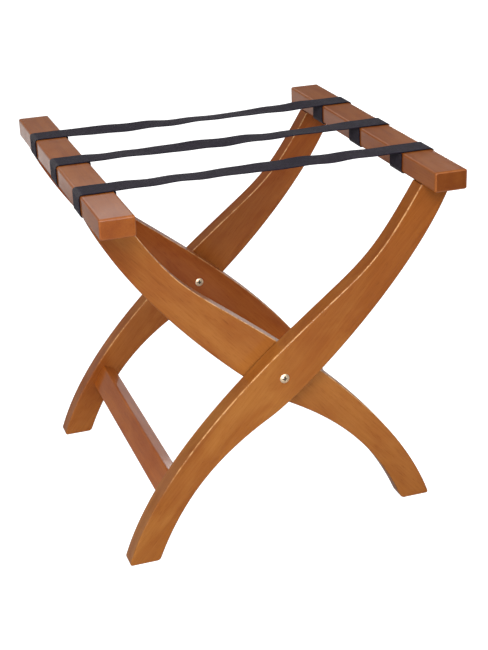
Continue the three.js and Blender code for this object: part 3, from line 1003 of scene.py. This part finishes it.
for frame_name, (lean, body, side) in FRAMES.items():
    grain = (0.0, lean * CHORD_TURN, 0.0)
    for k, where in enumerate(NEAR_FAR):
        node = f"{frame_name}_leg_{where}"
        seed = 1.3 + 2.1 * k + (0.7 if lean < 0 else 0)
        look = wood_material(f"{node} wood", grain, seed, *STAINS_AND_SHADE[node], cloudiness=0.85,
                             top_shade=TOP_SHADE[node], film=LEG_FILM)
        finish_piece(leg(f"{node}_board", node, lean), look, "leg_wood", body, node)

    rail = f"{side}_top_rail"
    low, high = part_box(rail)
    middle = (low + high) / 2
    made = bar(
        f"{rail}_bar", (middle.x, low.y, middle.z), (middle.x, high.y, middle.z),
        (1, 0, 0), (0, 0, 1), (high.x - low.x, high.z - low.z), RAIL_ROUND, RAIL_END_ROUND,
        BAR_EDGE_RUB,
    )
    film, end_darkening = RAIL_FINISH[rail]
    look = wood_material(f"{rail} wood", (0, 0, -math.pi / 2), 5.1 + lean, *STAINS_AND_SHADE[rail],
                         film=film, end_darkening=end_darkening)
    finish_piece(made, look, "rail_wood", body, rail)

    stretcher = f"{frame_name}_stretcher"
    low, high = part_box(stretcher)
    x, z = -lean * STRETCHER_CENTRE[0], STRETCHER_CENTRE[1]
    along_leg = (lean * math.cos(STRETCHER_TILT), 0, math.sin(STRETCHER_TILT))
    square_to_it = (math.sin(STRETCHER_TILT), 0, -lean * math.cos(STRETCHER_TILT))
    made = bar(
        f"{stretcher}_bar", (x, low.y, z), (x, high.y, z),
        square_to_it, along_leg, STRETCHER_SIZE, STRETCHER_ROUND, JOINT_ROUND,
        BAR_EDGE_RUB,
    )
    look = wood_material(f"{stretcher} wood", (0, 0, -math.pi / 2), 8.3 + lean,
                         *STAINS_AND_SHADE[stretcher], film=STRETCHER_FILM)
    finish_piece(made, look, "stretcher_wood", body, stretcher)

zinc = metal_material("pivot zinc", (0.98, 0.78, 0.55, 1), (0.72, 0.55, 0.38, 1), 0.34, True)
wire = metal_material("staple wire", (0.62, 0.62, 0.61, 1), (0.36, 0.36, 0.36, 1), 0.34)
nylon = nylon_material()
for where, end in NEAR_FAR.items():
    made = pivot_fastener(f"pivot_screw_{where}_bolt", f"pivot_screw_{where}", end,
                          SCREW_RADIUS, SCREW_LENGTH)
    finish_piece(made, zinc, "zinc_steel", "outer_frame", f"pivot_screw_{where}")
    made = pivot_fastener(f"pivot_sleeve_{where}_nut", f"pivot_sleeve_{where}", -end,
                          SLEEVE_RADIUS, SLEEVE_LENGTH, SLEEVE_BORE)
    finish_piece(made, zinc, "zinc_steel", "outer_frame", f"pivot_sleeve_{where}")
    made = pivot_washer(f"pivot_washer_{where}_ring", f"pivot_washer_{where}")
    finish_piece(made, nylon, "nylon", "outer_frame", f"pivot_washer_{where}")

# How each strap lies between the rails, each a little differently.
webbing = strap_material()
LIES = {
    "near": {"turn": 0.05, "wave": 0.36, "phase": 0.4, "sway": 0.6 * MM, "sag": 0.2 * MM},
    "middle": {"turn": 0.06, "wave": 0.29, "phase": 2.2, "sway": 0.8 * MM, "sag": 1.2 * MM},
    "far": {"turn": 0.08, "wave": 0.33, "phase": 4.1, "sway": 0.7 * MM, "sag": 2.8 * MM},
}
for where, lie in LIES.items():
    made, strap_length = strap(f"strap_{where}", where, lie)
    finish_piece(
        made, webbing, "webbing", None,
        f"strap_{where}_span", f"strap_{where}_left_wrap", f"strap_{where}_right_wrap",
    )
    low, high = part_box(f"strap_{where}_span")
    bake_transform(made)
    for side, body in (("left", "inner_frame"), ("right", "outer_frame")):
        for number in (1, 2):
            node = f"strap_{where}_{side}_staple_{number}"
            finish_piece(staple(f"{node}_wire", node), wire, "staple_steel", body, node)

# The dowels stay as they are in the frame, with their own look.
DOWELS = {
    "_rail_dowel_": dowel_material("upright dowel beech", (0, math.pi / 2, 0)),
    "_stretcher_dowel_": dowel_material("level dowel beech", (0, 0, -math.pi / 2)),
}
for name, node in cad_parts.items():
    for kind, beech in DOWELS.items():
        if kind in name:
            node.data.materials.clear()
            node.data.materials.append(beech)


# ------------------------------ camera, floor and light

def place_camera(location, yaw, pitch, roll, lens):
    """A camera turned by yaw from +Y towards +X, tipped down by pitch, then rolled."""
    forward = Vector((math.sin(yaw) * math.cos(pitch), math.cos(yaw) * math.cos(pitch),
                      -math.sin(pitch)))
    right = Vector((math.cos(yaw), -math.sin(yaw), 0))
    up = right.cross(forward)
    c, s = math.cos(roll), math.sin(roll)
    right, up = c * right + s * up, c * up - s * right
    axes = Matrix((right, up, -forward)).transposed().to_4x4()
    data = bpy.data.cameras.new("camera")
    data.lens = lens
    data.sensor_width = 36
    made = bpy.data.objects.new("camera", data)
    bpy.context.scene.collection.objects.link(made)
    made.matrix_world = Matrix.Translation(location) @ axes
    bpy.context.scene.camera = made


def soft_light(name, location, target, size, watts):
    """A rectangular lamp that faces a target."""
    data = bpy.data.lights.new(name, "AREA")
    data.shape = "RECTANGLE"
    data.size, data.size_y = size
    data.energy = watts
    made = bpy.data.objects.new(name, data)
    bpy.context.scene.collection.objects.link(made)
    made.location = location
    aim = Vector(target) - Vector(location)
    made.rotation_euler = aim.to_track_quat("-Z", "Y").to_euler()


def pale_floor():
    """A wide floor that the camera sees as plain white.

    Everything else sees it as a grey card: darker in front, and glowing a little in a patch
    behind on the left, which is what the sides of the rails mirror in their lacquer.
    """
    reach = 8.0
    corners = [(-reach, -reach, 0), (reach, -reach, 0), (reach, reach, 0), (-reach, reach, 0)]
    ground = bpy.data.meshes.new("floor")
    ground.from_pydata(corners, [], [(0, 1, 2, 3)])
    floor = bpy.data.objects.new("floor", ground)
    bpy.context.scene.collection.objects.link(floor)
    made, tree, shader = material("pale floor")
    place = add(tree, "ShaderNodeTexCoord").outputs["Object"]
    parts = add(tree, "ShaderNodeSeparateXYZ", {0: place})
    aside = maths(tree, "ABSOLUTE", maths(tree, "ADD", parts.outputs["X"], 0.5))
    glow = maths(tree, "MULTIPLY", remap(tree, parts.outputs["Y"], 1.35, 1.8, 0.0, 0.48),
                 remap(tree, aside, 0.5, 0.2))
    seen = add(tree, "ShaderNodeLightPath").outputs["Is Camera Ray"]
    tree.links.new(maths(tree, "MAXIMUM", glow, seen), shader.inputs["Emission Strength"])
    behind = remap(tree, parts.outputs["Y"], -1.7, -1.0)
    grey = mix_colour(tree, behind, (0.15, 0.15, 0.15, 1), (0.45, 0.45, 0.45, 1))
    tree.links.new(grey, shader.inputs["Base Color"])
    shader.inputs["Roughness"].default_value = 0.9
    shader.inputs["Specular IOR Level"].default_value = 0.0
    shader.inputs["Emission Color"].default_value = (1, 1, 1, 1)
    ground.materials.append(made)


def studio():
    """A dim room, brighter overhead and at the horizon, which the camera sees as plain
    white."""
    world = bpy.data.worlds.new("studio")
    bpy.context.scene.world = world
    world.use_nodes = True
    tree = world.node_tree
    tree.nodes.clear()
    direction = add(tree, "ShaderNodeTexCoord").outputs["Generated"]
    rise = add(tree, "ShaderNodeSeparateXYZ", {0: direction}).outputs["Z"]
    low = remap(tree, rise, 0.04, 0.2, 0.6, 0.18)
    high = remap(tree, rise, 0.3, 0.9, 0.0, 0.35)
    seen = add(tree, "ShaderNodeLightPath").outputs["Is Camera Ray"]
    strength = maths(tree, "MAXIMUM", maths(tree, "ADD", low, high), seen)
    sky = add(tree, "ShaderNodeBackground", {"Color": (1, 1, 1, 1), "Strength": strength})
    output = add(tree, "ShaderNodeOutputWorld")
    tree.links.new(sky.outputs[0], output.inputs["Surface"])


place_camera(location=(-0.56608, -1.81116, 1.03135), yaw=0.311907, pitch=0.400010,
             roll=-0.0397636, lens=77.43)
pale_floor()
studio()

# Each lamp as its place, where it points, its width and height, and its watts.
LAMPS = {
    "key": ((-0.75, -1.8, 1.75), (0, 0, 0.22), (1.1, 0.9), 34),
    "low": ((-0.4, -2.4, 0.3), (0, 0, 0.15), (1.8, 0.5), 19.5),
    "fill": ((0.8, -2.3, 1.7), (0, 0, 0.22), (1.2, 1.0), 11),
    "side": ((-2.2, -0.4, 0.6), (0, 0, 0.3), (0.9, 0.7), 9),
    "overhead": ((-0.2, 0.1, 2.6), (0, 0, 0.3), (0.8, 0.8), 7.5),
    "back": ((0.12, 2.1, 1.66), (0.1, 0, 0.5), (0.95, 0.8), 2.2),
    "rear": ((1.7, 1.9, 0.5), (0, 0, 0.3), (1.0, 0.6), 12),
}
for name, lamp in LAMPS.items():
    soft_light(name, *lamp)

bpy.context.scene.view_settings.view_transform = "Standard"
